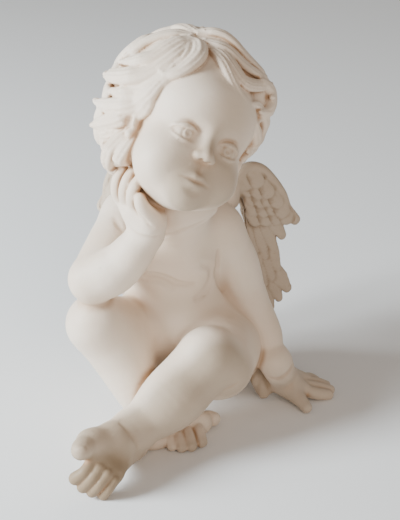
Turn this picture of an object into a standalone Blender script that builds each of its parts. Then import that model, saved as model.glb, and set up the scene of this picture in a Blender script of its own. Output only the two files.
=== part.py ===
"""Seated resin angel, a winged child leaning its cheek on one hand.

The frame is metres, +Z up, the figure facing -Y, with the origin on the ground at the middle
of the flat seat. Every position and radius below is in steps of UNIT, a share of the height.
"""
import math

import bmesh
import bpy
import numpy as np
from mathutils import Matrix, Vector

# Driving dimensions
HEIGHT = 0.293                # ground to the top of the hair
GRAIN = 0.0014                # fineness of the clay before it is thinned
FACES = 9400                  # triangles left on the finished figure

STEPS = 293                   # steps in the whole height
UNIT = HEIGHT / STEPS

# Figure's own directions for the head: it looks to its left, up a little, crown tipped left
HEAD_YAW = math.radians(25)
HEAD_PITCH = math.radians(17)
HEAD_ROLL = math.radians(31)
HEAD = Vector((-12.5, -50, 228))

# Joints
PELVIS = Vector((0, 0, 43))
BELLY = Vector((-21, -20, 68))
CHEST = Vector((-23, -18, 116))
NECK = Vector((-24.5, -24, 147.5))
JAW = Vector((-20.5, -36, 173))
R_SHOULDER = Vector((-58, -12, 149.5))
R_ELBOW = Vector((-80.5, -66, 125))
R_WRIST = Vector((-41.5, -73, 163.5))
L_SHOULDER = Vector((10.5, -10, 140))
L_ELBOW = Vector((30, -8, 82.5))
L_WRIST = Vector((55.5, -30, 30))
R_HIP = Vector((-30, -6, 40))
R_KNEE = Vector((-79.5, -62.5, 87.5))
R_ANKLE = Vector((-43.5, -74, 21))
L_HIP = Vector((14, -4, 40))
L_KNEE = Vector((1, -74, 65.5))
L_ANKLE = Vector((-51.5, -112, 29))


def smooth_run(points, values, between=4):
    """Stations on a smooth curve through the points, each with its eased value."""
    rows = [list(p) + [v] for p, v in zip(points, values)]
    first = [2 * a - b for a, b in zip(rows[0], rows[1])]
    last = [2 * a - b for a, b in zip(rows[-1], rows[-2])]
    rows = [first] + rows + [last]
    out = []
    for i in range(1, len(rows) - 2):
        a, b, c, d = rows[i - 1:i + 3]
        for k in range(between):
            s = k / between
            out.append([0.5 * (2 * q + (r - p) * s + (2 * p - 5 * q + 4 * r - t) * s * s
                               + (3 * q - p - 3 * r + t) * s ** 3)
                        for p, q, r, t in zip(a, b, c, d)])
    out.append(rows[-2])
    return [(Vector(row[:3]), row[3]) for row in out]


def unit_shape(make, **options):
    """Corners and faces of one of bmesh's own primitives."""
    piece = bmesh.new()
    make(piece, **options)
    piece.verts.ensure_lookup_table()
    corners = np.array([v.co for v in piece.verts])
    faces = [[v.index for v in f.verts] for f in piece.faces]
    piece.free()
    return corners, faces


SPHERE = unit_shape(bmesh.ops.create_icosphere, subdivisions=3, radius=1.0)
BEAD = unit_shape(bmesh.ops.create_icosphere, subdivisions=2, radius=1.0)
SIDES = 20


class Clay:
    """Overlapping closed lumps, knitted into one body later."""

    def __init__(self):
        self.corners = []
        self.faces = []

    def put(self, corners, faces):
        first = len(self.corners)
        self.corners.extend(tuple(c) for c in np.asarray(corners) * UNIT)
        self.faces.extend([first + i for i in face] for face in faces)


def ball(clay, centre, radii, axes=None, shape=SPHERE):
    """An ellipsoid; axes is a 3x3 matrix whose columns are its directions."""
    if isinstance(radii, (int, float)):
        radii = (radii, radii, radii)
    turn = np.array(axes or Matrix.Identity(3))
    corners, faces = shape
    if np.linalg.det(turn) < 0:
        faces = [face[::-1] for face in faces]
    clay.put(np.array(centre) + (corners * np.array(radii)) @ turn.T, faces)


def limb(clay, points, radii, between=4):
    """A round limb: cones between stations on a smooth curve, with a ball at each."""
    run = smooth_run(points, radii, between)
    for centre, radius in run:
        ball(clay, centre, radius, shape=BEAD if radius < 8 else SPHERE)
    round_way = [2 * math.pi * k / SIDES for k in range(SIDES)]
    for (a, ra), (b, rb) in zip(run, run[1:]):
        along = b - a
        if along.length < 1e-6:
            continue
        side = along.orthogonal().normalized()
        other = along.normalized().cross(side)
        rings = [end + (side * math.cos(t) + other * math.sin(t)) * radius
                 for end, radius in ((a, ra), (b, rb)) for t in round_way]
        walls = [[k, (k + 1) % SIDES, SIDES + (k + 1) % SIDES, SIDES + k] for k in range(SIDES)]
        ends = [list(range(SIDES))[::-1], list(range(SIDES, 2 * SIDES))]
        clay.put(rings, walls + ends)


def part_way(a, b, share, off=(0, 0, 0)):
    return a.lerp(b, share) + Vector(off)


def torso(clay):
    ball(clay, PELVIS, (45, 41, 46.5))
    ball(clay, part_way(PELVIS, BELLY, 0.5), (43, 38.5, 41))
    ball(clay, BELLY, (42, 36, 37))
    ball(clay, (-43, -16, 79), (18, 20, 20))
    ball(clay, part_way(BELLY, CHEST, 0.5), (38.5, 33, 36))
    ball(clay, CHEST, (36.5, 30, 34))
    ball(clay, (-22, -4, 124), (37, 21, 32))
    limb(clay, [(-46, -9, 148), NECK + Vector((0, 6, 3)), (0, -8, 144)], [19, 20, 19])
    ball(clay, (-14, -36.8, 124), (15.5, 11.5, 12.5))
    ball(clay, (-39.5, -39, 131), (15, 10, 12))
    limb(clay, [R_SHOULDER, (-24.5, -16, 133.5), L_SHOULDER], [18.5, 24.5, 19.5])
    limb(clay, [NECK - Vector((0, -3, 8)), NECK, JAW, JAW + Vector((3, 2, 12))], [28, 26, 26, 28])
    limb(clay, [(-31, -48, 157), (-24, -52, 161.5), (-13, -54.5, 166.5), (-3, -51, 169.5), (6, -44, 170)],
         [5, 6.2, 6.6, 6.4, 5])


def arms(clay):
    limb(clay, [R_SHOULDER, (-68, -36.5, 139), R_ELBOW], [19, 18.5, 17])
    limb(clay, [R_ELBOW, (-68, -70, 132.5), (-59, -72, 140), (-49.5, -74, 152), R_WRIST],
         [17.2, 17.4, 15.8, 14, 10.8])
    limb(clay, [L_SHOULDER, (21.5, -8, 111), L_ELBOW], [20, 18.2, 15.6])
    limb(clay, [L_ELBOW, (38.5, -11, 65), (45, -16, 54), (48.5, -21, 44.5), (53, -26, 36),
                L_WRIST], [15.6, 14.8, 13, 10.8, 11.8, 10.8])


def legs(clay):
    limb(clay, [R_HIP, (-54.5, -34, 62), R_KNEE], [33, 29, 21])
    limb(clay, [R_KNEE, (-63, -60, 62.5), (-51.5, -69, 37), R_ANKLE], [21, 22.5, 16.5, 12.5])
    limb(clay, [L_HIP, (7.5, -39, 53), (7.5, -62, 54.5)], [33, 31, 27])
    ball(clay, L_KNEE, 22.5)
    limb(clay, [L_KNEE, (-13, -83, 52.5), (-25.5, -94, 43.5), (-40.5, -104, 34.5), L_ANKLE],
         [22.2, 22.6, 22.6, 17.2, 14.2])


def right_foot(clay):
    heel = (-49.5, -66, 11)
    inner, outer = Vector((-5, -68, 7.2)), Vector((-28, -83, 6.6))
    limb(clay, [R_ANKLE, heel], [12.5, 12])
    limb(clay, [R_ANKLE, (-24, -71, 16.5), inner], [12.5, 10.5, 7.6])
    limb(clay, [heel, (-38, -74.5, 12.5), outer], [11.5, 9.5, 7])
    limb(clay, [outer, (-36.5, -91, 7), (-46, -93, 9)], [7, 7.2, 8])
    limb(clay, [inner, outer], [7.6, 6.8])
    limb(clay, [(-3.5, -66.5, 8.5), (1, -61.5, 8), (5, -62.5, 7)], [6.2, 5, 5.4])
    toes = [((-8.5, -71), (-5.6, -82), (-4, -89), 4.5), ((-16, -75.5), (-13, -88), (-11.2, -94.5), 4.4),
            ((-23, -79), (-20.5, -90), (-18.3, -96), 4.2), ((-29.5, -82), (-27.5, -90.5), (-25.3, -94.5), 4)]
    for root, bend, tip, radius in toes:
        limb(clay, [(*root, 8.5), (*bend, 8), (*tip, 4.2)], [radius, radius * 0.92, radius])


def left_foot(clay):
    heel = (-54.5, -103.5, 12)
    inner, outer = Vector((-79.5, -140, 35.5)), Vector((-66.5, -144.5, 15.5))
    limb(clay, [L_ANKLE, heel], [14.2, 11.6])
    limb(clay, [L_ANKLE, (-67, -127.5, 32.5), inner], [14.2, 11.2, 9])
    limb(clay, [heel, (-61, -125, 15), outer], [11.4, 10, 7.6])
    limb(clay, [inner, outer], [9, 7.4])
    ball(clay, (-63.5, -129, 27), 12)
    limb(clay, [(-80.5, -142, 36), (-83.5, -149, 38.5), (-85, -153.5, 39.5)], [8.2, 8, 6.8])
    toes = [((-78.5, -147, 25.5), (-83.5, -152.5, 21.5), (-90, -151, 15), 4.6),
            ((-73, -150, 23), (-78.5, -154.5, 17.5), (-85, -152, 8.8), 4.3),
            ((-68, -152, 19.5), (-73.2, -155.5, 13.5), (-78.8, -153, 5.6), 4.1),
            ((-63.5, -152, 14.5), (-67.3, -155, 9.3), (-71.3, -153, 3), 3.9)]
    for root, bend, tip, radius in toes:
        limb(clay, [root, bend, tip], [radius, radius * 0.9, radius])


def left_hand(clay):
    ball(clay, (51.5, -27, 37), (12.6, 12, 11))
    limb(clay, [L_WRIST, (58.5, -20, 16.5), (68, -22.5, 11.5), (75, -22.5, 9)], [9.6, 10, 7.8, 5.8])
    limb(clay, [L_WRIST, (66, -14.5, 15), (77.5, -8.5, 9)], [9.2, 8.2, 5.6])
    limb(clay, [(57.5, -18.5, 12), (67, -28, 8.5), (73, -36, 6), (76.5, -42, 4.2)], [7.8, 6.6, 5.2, 4.2])
    fingers = [((74.5, -22), (85, -24), (95, -21), 4.8), ((77, -16), (88, -15), (97, -13.5), 4.5),
               ((77.5, -10), (86.5, -7), (94.5, -6.5), 4.2), ((76.5, -5), (82, 0), (87, 1.5), 4.0)]
    for knuckle, bend, tip, radius in fingers:
        limb(clay, [(*knuckle, 8.5), (*bend, 6), (*tip, 3)], [radius, radius * 0.95, radius * 0.88])


def right_hand(clay):
    heel = Vector((-39, -77.5, 173))
    limb(clay, [R_WRIST, heel], [11.2, 10.6])
    limb(clay, [heel, (-43, -75, 177), (-50, -70, 180.5), (-54.5, -66, 182)], [10.4, 10, 8.6, 7])
    limb(clay, [R_WRIST, (-48.5, -73, 178)], [10.6, 8.8])
    limb(clay, [(-38, -73, 178), (-42, -71, 187), (-45, -69, 194)], [9.5, 8.5, 6])
    fingers = [((-56, -63, 180), (-61.5, -65.5, 190), (-61, -66, 200), (-57, -63, 206.5)),
               ((-52, -69, 181), (-56, -72.5, 191), (-54.5, -73, 201), (-50.6, -70, 207.6)),
               ((-47.8, -75, 182), (-50.6, -79, 191), (-49, -79, 199.5), (-45.3, -76, 205))]
    for finger in fingers:
        limb(clay, finger, [4.8, 4.3, 4.0, 3.7])
    limb(clay, [(-37, -81, 177.5), (-41, -85, 184.5), (-44.2, -86, 190), (-45.2, -85, 194)],
         [7, 5.6, 4.8, 4.1])


def head_axes():
    """Columns: the head's left, its forward and its up."""
    level = Vector((math.cos(HEAD_YAW), math.sin(HEAD_YAW), 0))
    forward = Vector((math.sin(HEAD_YAW) * math.cos(HEAD_PITCH),
                      -math.cos(HEAD_YAW) * math.cos(HEAD_PITCH), math.sin(HEAD_PITCH)))
    upright = forward.cross(level)
    up = upright * math.cos(HEAD_ROLL) + level * math.sin(HEAD_ROLL)
    left = level * math.cos(HEAD_ROLL) - upright * math.sin(HEAD_ROLL)
    return Matrix((left, forward, up)).transposed()


AXES = head_axes()


def on_head(x, y, z):
    """A point of the head in its own steps: left, forward, up."""
    return HEAD + AXES @ Vector((x, y, z))


def head_ball(clay, x, y, z, radii):
    ball(clay, on_head(x, y, z), radii, AXES)


def head(clay):
    head_ball(clay, 0, -8, 10, (40, 44, 40))
    head_ball(clay, 0, 9, -16, (35, 31.5, 38))
    head_ball(clay, 0, 14, 16, (36, 29.5, 27))
    head_ball(clay, 0, 30, -43, (13, 11, 10.5))
    head_ball(clay, 0, 29.5, -33, (15, 9.5, 11))
    limb(clay, [on_head(0, 37, 4), on_head(0, 39.5, -5), on_head(0, 43.5, -14)], [4.6, 3.9, 4.4])
    head_ball(clay, 0, 45, -16, (4.8, 4.5, 4.2))
    for side in (-1, 1):
        head_ball(clay, side * 19, 20, -27, (17, 17, 17))
        head_ball(clay, side * 15.5, 31.8, -6.5, (8.8, 8.4, 7.4))
        head_ball(clay, side * 4.8, 42, -17.2, (3.4, 3.9, 3.1))
        limb(clay, [on_head(side * 6, 37.8, 6), on_head(side * 15, 35.3, 7.5), on_head(side * 25, 28, 4)],
             [6.5, 7, 6.5])
        head_ball(clay, side * 39.5, -2, -12, (4.4, 7, 10.5))
    for height, reach, radius in ((-31, 9.5, 2.3), (-35.6, 8, 2.6)):
        limb(clay, [on_head(-reach, 36, -33), on_head(-reach / 2, 38.9, height), on_head(0, 39.6, height - 0.3),
                    on_head(reach / 2, 38.9, height), on_head(reach, 36, -33)],
             [1.4, radius, radius, radius, 1.4])


# Hair rides on a cap over the skull; a place on it is a longitude from the face, a latitude
# and a lift off the cap
CAP = Vector((0, -12, 18))
CAP_RADII = Vector((46, 48, 43))


def on_cap(longitude, latitude, lift):
    lon, lat = math.radians(longitude), math.radians(latitude)
    way = Vector((math.sin(lon) * math.cos(lat), math.cos(lon) * math.cos(lat), math.sin(lat)))
    place = Vector(a * b for a, b in zip(CAP_RADII, way))
    out = Vector(a / b for a, b in zip(way, CAP_RADII)).normalized()
    return CAP + place + out * lift


# Masses that the locks lie on: places on the cap and radii
VOLUME = Vector((0, -24, 22))
VOLUME_RADII = Vector((53, 46, 49))
MASSES = (
    ([(-95, 49, -3), (-106, 19, -5), (-110, -3, -2), (-114, -23, 2), (-116, -36, 11), (-118, -49, 16)],
     [9, 13, 13, 12, 8, 5]),
    ([(-80, 38, -4), (-82, 12, -4), (-86, -12, -2), (-92, -30, 2), (-101, -42, 8)], [11, 11, 10, 9, 7]),
    ([(-70, 66, 0), (-40, 75, 1), (0, 75, 0), (36, 64, -4), (52, 44, -4), (58, 27, -4), (57, 8, -5),
      (60, -8, -4)], [7, 9, 10, 10, 12, 11, 7, 6]))
MASS_BALLS = [(centre, Vector((radius, radius, radius))) for places, radii in MASSES
              for centre, radius in smooth_run([on_cap(*p) for p in places], radii)]
BULK = [(CAP, CAP_RADII), (VOLUME, VOLUME_RADII)] + MASS_BALLS


def stand(longitude, latitude):
    """The lift at which a place on the cap comes out of the masses."""
    lift = 30.0
    while lift > -6:
        spot = on_cap(longitude, latitude, lift)
        if any(sum(((spot - centre)[j] / radii[j]) ** 2 for j in range(3)) < 1 for centre, radii in BULK):
            break
        lift -= 0.5
    return lift


def lock(clay, places, width, lift=1.0, strands=3, thick=2.6):
    """A lock of hair on the masses: strands side by side that close up towards the tip."""
    route = smooth_run([(*p, 0) for p in places], range(len(places)), 2)
    heights = [stand(spot.x, spot.y) for spot, _ in route]
    last = len(route) - 1
    points = []
    for i, (spot, _) in enumerate(route):
        near = heights[max(i - 1, 0):i + 2]
        points.append(on_cap(spot.x, spot.y, lift + sum(near) / len(near)))
    for k in range(strands):
        across = 2 * k / (strands - 1) - 1
        run, radii = [], []
        for i, p in enumerate(points):
            along = points[min(i + 1, last)] - points[max(i - 1, 0)]
            out = Vector((p - CAP)[j] / CAP_RADII[j] ** 2 for j in range(3)).normalized()
            side = along.cross(out).normalized()
            share = i / last
            spread = width * (1 - 0.65 * max(0, (share - 0.45) / 0.55) ** 1.4)
            run.append(on_head(*(p + side * across * (spread / 2 - thick * 0.6) - out * 0.8 * across * across)))
            radii.append((spread / strands * 0.58 + thick * 0.3) * (1 - 0.3 * share))
        limb(clay, run, radii, 1)


def hair(clay):
    head_ball(clay, *CAP, tuple(CAP_RADII))
    head_ball(clay, *VOLUME, tuple(VOLUME_RADII))
    for places, radii in MASSES:
        limb(clay, [on_head(*on_cap(*p)) for p in places], radii)
    # waves on the figure's right, combed back from the parting
    lock(clay, [(-67, 60), (-81, 54), (-87, 43), (-89, 31), (-93, 21)], 13, 0.5)
    lock(clay, [(-61, 58), (-66, 47), (-70, 36), (-74, 22), (-83, 13), (-95, 9)], 12, 1.2)
    lock(clay, [(-57, 53), (-57, 36), (-61, 19), (-74, 9), (-89, 2), (-106, 0)], 12, 1.8)
    lock(clay, [(-51, 27), (-53, 13), (-64, 2), (-81, -4), (-99, -6),
                       (-108, -8)], 11, 1.8)
    lock(clay, [(-52, 7), (-58, -5), (-74, -13), (-90, -13), (-102, -11),
                       (-104, -15)], 10, 1.8)
    lock(clay, [(-59, -11), (-68, -19), (-85, -24), (-102, -22), (-113, -19),
                       (-114, -23)], 10, 1.8)
    lock(clay, [(-67, -25), (-84, -32), (-102, -31), (-108, -30), (-115, -31)], 9, 1.8)
    lock(clay, [(-86, -36), (-106, -38), (-108, -37), (-116, -40), (-117, -46)], 7, 1.5)
    lock(clay, [(-106, -37), (-110, -42), (-112, -48), (-115, -53)], 5, 1.5)
    lock(clay, [(-78, 21), (-90, 21), (-108, 21), (-113, 16), (-114, 11)], 7, 1.8)
    # forelock with its hooked tip
    lock(clay, [(-61, 55), (-46, 55), (-34, 40), (-36, 25), (-43, 13), (-52, 9),
                       (-58, 13), (-55, 16)], 8, 1.4)
    lock(clay, [(-64, 55), (-57, 42), (-52, 26), (-54, 16)], 4.5, 1.6)
    # waves on the figure's left
    lock(clay, [(-64, 64), (-54, 73), (-18, 76), (20, 71), (39, 62), (49, 50),
                       (50, 43)], 12, 0.8)
    lock(clay, [(-41, 61), (-18, 65), (6, 63), (25, 54), (35, 44), (50, 39)], 9, 0.8)
    lock(clay, [(-32, 58), (-10, 54), (3, 39), (16, 29), (40, 31), (54, 31)], 10, 1.4)
    lock(clay, [(-20, 50), (-6, 40), (4, 26), (16, 16), (33, 17)], 6, 1.2)
    lock(clay, [(35, 20), (47, 21), (50, 15), (42, 6)], 4.5, 1.4)
    lock(clay, [(45, 35), (57, 30), (59, 22), (53, 13)], 8, 0.8)
    lock(clay, [(43, 9), (58, 6), (59, 0), (60, -8)], 7, 1.2)
    lock(clay, [(41, -1), (57, -6), (64, -12), (62, -20)], 6, 1.2)
    lock(clay, [(-77, 62), (-72, 68), (-64, 70)], 6, 1.0)
    # the spiral curl beside the jaw
    middle = on_head(*on_cap(-120, -58, 21))
    ball(clay, middle + Vector((0, 5, 0)), (7.5, 7, 9))
    turn = []
    for k in range(15):
        radius, angle = 7.0 - 5.4 * k / 14, -1.2 + 9.8 * k / 14
        turn.append(middle + Vector((-1.05 * radius * math.sin(angle), 3.2 - 0.55 * angle,
                                     1.35 * radius * math.cos(angle))))
    limb(clay, turn, [3.1 - 1.2 * k / 14 for k in range(15)], 2)
    limb(clay, [on_head(*on_cap(-116, -40, 14)), on_head(*on_cap(-117, -46, 16)), turn[0]], [4.5, 4, 3.2])
    # short waved locks in rows round the back
    for row, (latitude, count, drop) in enumerate(
            [(64, 7, 36), (40, 10, 36), (16, 11, 34), (-6, 11, 32), (-26, 10, 28)]):
        for k in range(count):
            start = 62 + (k + 0.5 * (row % 2)) * 238 / count
            bend = 10 if k % 2 else -10
            lock(clay, [(start + bend * math.sin(s * 4) + 10 * s, latitude - drop * s)
                        for s in (0, 0.25, 0.5, 0.75, 1)], 12.5, 0.6 + 0.25 * row)


class Wing:
    """A wing's plane: outward along the back, up along its height, and towards the front."""

    def __init__(self, side, root, sweep, lean, tilt):
        self.side = side
        self.root = Vector(root)
        self.out = Vector((side * math.cos(sweep), math.sin(sweep), 0))
        rise = Vector((lean, tilt, 1)).normalized()
        self.up = (rise - self.out * rise.dot(self.out)).normalized()
        self.front = self.out.cross(self.up) * side

    def at(self, out, up, front=0.0):
        return self.root + self.out * out + self.up * up + self.front * front


def feather(clay, wing, start, end, half_width, levels, half_thick):
    """A flat blade in the wing's plane with a rounded tip."""
    a, b = Vector(start), Vector(end)
    along = (b - a).normalized()
    across = Vector((-along.y, along.x))
    length = (b - a).length + half_width * 0.6
    outline = []
    for k in range(9):
        share = k / 8
        width = half_width * (0.75 + 0.25 * math.sin(share * math.pi)) * math.sqrt(max(0.0, 1 - share ** 5))
        outline.append((share, width))
    rim = [(s, w) for s, w in outline] + [(s, -w) for s, w in reversed(outline[:-1])]
    count = len(rim)
    corners = []
    for face in (half_thick, -half_thick):
        for share, width in rim:
            spot = a + along * (share * length) + across * width
            level = levels[0] + (levels[1] - levels[0]) * share
            corners.append(wing.at(spot.x, spot.y, level + face))
    walls = [[j, i, count + i, count + j] for i, j in ((i, (i + 1) % count) for i in range(count))]
    faces = [list(range(count)), list(range(count, 2 * count))[::-1]] + walls
    if wing.side * (along.x * across.y - along.y * across.x) > 0:
        faces = [face[::-1] for face in faces]
    clay.put(corners, faces)


def wing_shape(clay, wing):
    limb(clay, [wing.at(x, y, -2) for x, y in ((16, 28), (26, 32), (38, 28), (50, 17))], [5.5, 6.5, 6, 4.5])
    for start, end, width in (((21, 30), (52, 16), 10.5), ((37, 24), (44, -35), 11.5),
                              ((41, -20), (44, -62), 10)):
        feather(clay, wing, start, end, width, (-1.5, -2.5), 2.6)
    # long feathers, the lowest layer first
    for start, end, width, levels in (
            ((42, -54), (41, -94), 5.4, (-2.2, -1.2)), ((36, -57), (33, -96), 5.2, (-2.2, -1.0)),
            ((38, -36), (41, -68), 5.4, (-1.6, -0.6)), ((41, -38), (48, -71), 5.8, (-1.2, 0)),
            ((43, -37), (54, -64), 6.0, (-0.9, 0.5)), ((45, -34), (60.5, -57.5), 6.2, (-0.6, 0.9)),
            ((34, -8), (35, -46), 5.2, (0.2, 0.6)), ((37, -12), (41, -51), 5.4, (0.4, 1.0)),
            ((41, -12), (47, -46), 5.8, (0.6, 1.3)), ((44, -10), (50, -38), 5.6, (0.7, 1.6)),
            ((30, 8), (36, -27), 5.4, (1.8, 1.9)), ((33, 10), (43, -29), 5.8, (1.9, 2.2)),
            ((36, 13), (50, -23), 6.2, (2.0, 2.5)), ((40, 15), (58, -14), 6.4, (2.1, 2.8)),
            ((44, 17), (68, -3.5), 6.6, (2.2, 3.1))):
        feather(clay, wing, start, end, width, levels, 1.6)
    # rows of rounded coverts over their roots, each row overlapping the one below
    for row, (base, count, first, last) in enumerate(
            (((6, 4), 5, 29.5, 58), ((14, 12), 5, 28, 54), ((22, 19), 4, 26, 50), ((29, 26), 4, 23, 45),
             ((35, 33), 3, 22.5, 36))):
        for k in range(count):
            x = first + (last - first) * k / (count - 1)
            y = base[0] + (base[1] - base[0]) * k / (count - 1)
            feather(clay, wing, (x - 2.4, y + 6), (x + 0.6, y - 1), 4.9,
                    (2.0 + row * 0.5, 3.4 + row * 0.5), 1.6)
    # arched leading edge
    limb(clay, [wing.at(x, y, 1.5) for x, y in ((15.5, 19), (17, 31), (21.5, 40), (30, 44.3), (40, 41.3),
                                                (48.5, 32.5), (57, 20), (61, 11))],
         [4.4, 4.4, 4.2, 4, 3.9, 3.7, 3.3, 2.6])
    # root on the shoulder blade
    limb(clay, [wing.at(-4, 5, 6), wing.at(8, 20, 0), wing.at(17, 29, -1)], [10.5, 8, 7])


def wings(clay):
    wing_shape(clay, Wing(1, (6, 12, 130), math.radians(24), 0, 0.14))
    wing_shape(clay, Wing(-1, (-40, 12, 130), math.radians(52), -0.12, 0.10))
    # the left wing's lowest feathers, down between the hip and the hand
    limb(clay, [(44, 4, 60), (46.5, 0, 50), (44, -16, 26)], [7, 6.5, 5.2])
    limb(clay, [(49, 0, 40), (50, -17, 15), (45.5, -24.5, 5)], [5.6, 5.4, 2.8])
    limb(clay, [(43, 0, 42), (44, -19, 18), (43.5, -25, 5)], [5.6, 5.4, 2.8])
    limb(clay, [(38, 0, 40), (38, -17, 21), (42, -22, 6)], [6, 5.6, 3])


def ground_block():
    """The solid that the ground plane shaves away under the seat, feet and hand."""
    mesh = bpy.data.meshes.new("ground_block")
    block = bmesh.new()
    reach, depth = HEIGHT * 2, HEIGHT * 0.2
    bmesh.ops.create_cube(block, size=1.0, matrix=Matrix.Translation((0, 0, -depth / 2))
                          @ Matrix.Diagonal((reach, reach, depth, 1.0)))
    block.to_mesh(mesh)
    block.free()
    cutter = bpy.data.objects.new("ground_block", mesh)
    cutter.hide_render = True
    cutter.display_type = "WIRE"
    bpy.context.scene.collection.objects.link(cutter)
    return cutter


def resin():
    material = bpy.data.materials.new("cast_resin")
    material.use_nodes = True
    shader = material.node_tree.nodes["Principled BSDF"]
    shader.inputs["Base Color"].default_value = (0.70, 0.66, 0.60, 1.0)
    shader.inputs["Roughness"].default_value = 0.62
    shader.inputs["Metallic"].default_value = 0.0
    return material


def evaluated_mesh(thing):
    depsgraph = bpy.context.evaluated_depsgraph_get()
    depsgraph.update()
    return bpy.data.meshes.new_from_object(thing.evaluated_get(depsgraph))


def main():
    for old in list(bpy.data.objects):
        bpy.data.objects.remove(old, do_unlink=True)

    clay = Clay()
    for shape in (torso, arms, legs, right_foot, left_foot, left_hand, right_hand, head, hair, wings):
        shape(clay)
    rough = bpy.data.meshes.new("angel_rough")
    rough.from_pydata(clay.corners, [], clay.faces)

    figure = bpy.data.objects.new("angel_figure", rough)
    bpy.context.scene.collection.objects.link(figure)
    knit = figure.modifiers.new("knit", "REMESH")
    knit.mode = "VOXEL"
    knit.voxel_size = GRAIN
    soften = figure.modifiers.new("soften", "SMOOTH")
    soften.factor = 0.5
    soften.iterations = 4
    figure.data = evaluated_mesh(figure)
    figure.modifiers.clear()

    thin = figure.modifiers.new("thin", "DECIMATE")
    thin.ratio = FACES / (2 * len(figure.data.polygons))
    figure.data = evaluated_mesh(figure)
    figure.modifiers.clear()

    trim = figure.modifiers.new("trim", "BOOLEAN")
    trim.operation = "DIFFERENCE"
    trim.solver = "EXACT"
    trim.object = ground_block()
    figure.data.materials.clear()
    figure.data.materials.append(resin())
    figure.data.shade_smooth()


main()
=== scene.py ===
"""Looks of the seated resin angel.

The figure is carved as one body of clay on a grid of distances, in millimetres, in the same
frame as the CAD: +Z up, the figure facing -Y, the origin under the middle of the seat.
The carving follows the CAD solid's own places, with softer joins and finer detail.
"""
import math

import bpy
import numpy as np
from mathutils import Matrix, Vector


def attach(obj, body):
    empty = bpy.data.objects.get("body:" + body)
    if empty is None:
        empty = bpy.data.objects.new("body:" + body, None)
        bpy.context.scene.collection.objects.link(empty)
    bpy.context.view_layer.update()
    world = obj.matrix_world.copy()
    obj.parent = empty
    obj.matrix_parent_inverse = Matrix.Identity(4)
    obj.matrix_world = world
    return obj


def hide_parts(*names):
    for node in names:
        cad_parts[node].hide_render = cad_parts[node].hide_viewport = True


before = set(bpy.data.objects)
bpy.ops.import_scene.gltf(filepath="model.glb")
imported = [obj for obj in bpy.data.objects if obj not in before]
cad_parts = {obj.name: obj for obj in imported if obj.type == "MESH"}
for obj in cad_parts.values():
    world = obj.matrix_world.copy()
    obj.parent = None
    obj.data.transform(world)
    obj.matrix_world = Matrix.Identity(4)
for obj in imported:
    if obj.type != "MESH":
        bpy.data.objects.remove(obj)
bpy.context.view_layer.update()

MM = 0.001
GRID = 0.8                    # distance between the clay's grid points
MOST_FACES = 190000           # triangles left on the finished figure
LOW, HIGH = (-135, -175, -6), (125, 100, 310)     # corners of the grid
EMPTY = 50                    # distance given to a grid point with nothing near it


def vec(*numbers):
    return np.array(numbers, float)


def unit(v):
    return v / np.linalg.norm(v)


def eased(value, start, end):
    """Nought at start, one at end and beyond it."""
    return np.clip((value - start) / (end - start), 0, 1)


# Joints, as in the CAD; the left shoulder sits a little lower and further in
PELVIS = vec(0, 0, 43)
BELLY = vec(-21, -20, 68)
CHEST = vec(-23, -18, 116)
NECK = vec(-24.5, -24, 147.5)
JAW = vec(-20.5, -36, 173)
R_SHOULDER = vec(-58, -12, 149.5)
R_ELBOW = vec(-80.5, -66, 125)
R_WRIST = vec(-41.5, -73, 163.5)
L_SHOULDER = vec(8, -10, 138)
L_ELBOW = vec(30, -8, 82.5)
L_WRIST = vec(55.5, -30, 30)
R_HIP = vec(-30, -6, 40)
R_KNEE = vec(-79.5, -62.5, 87.5)
R_ANKLE = vec(-43.5, -74, 21)
L_HIP = vec(14, -4, 40)
L_KNEE = vec(1, -74, 65.5)
L_ANKLE = vec(-51.5, -112, 29)


# Clay: distances on a grid, and the simple forms that are joined to it or cut from it

def blend(a, b, soft):
    """The nearer of two distances, eased over soft millimetres where they meet."""
    h = np.maximum(soft - np.abs(a - b), 0) / soft
    return np.minimum(a, b) - h * h * (soft * 0.25)


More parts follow.
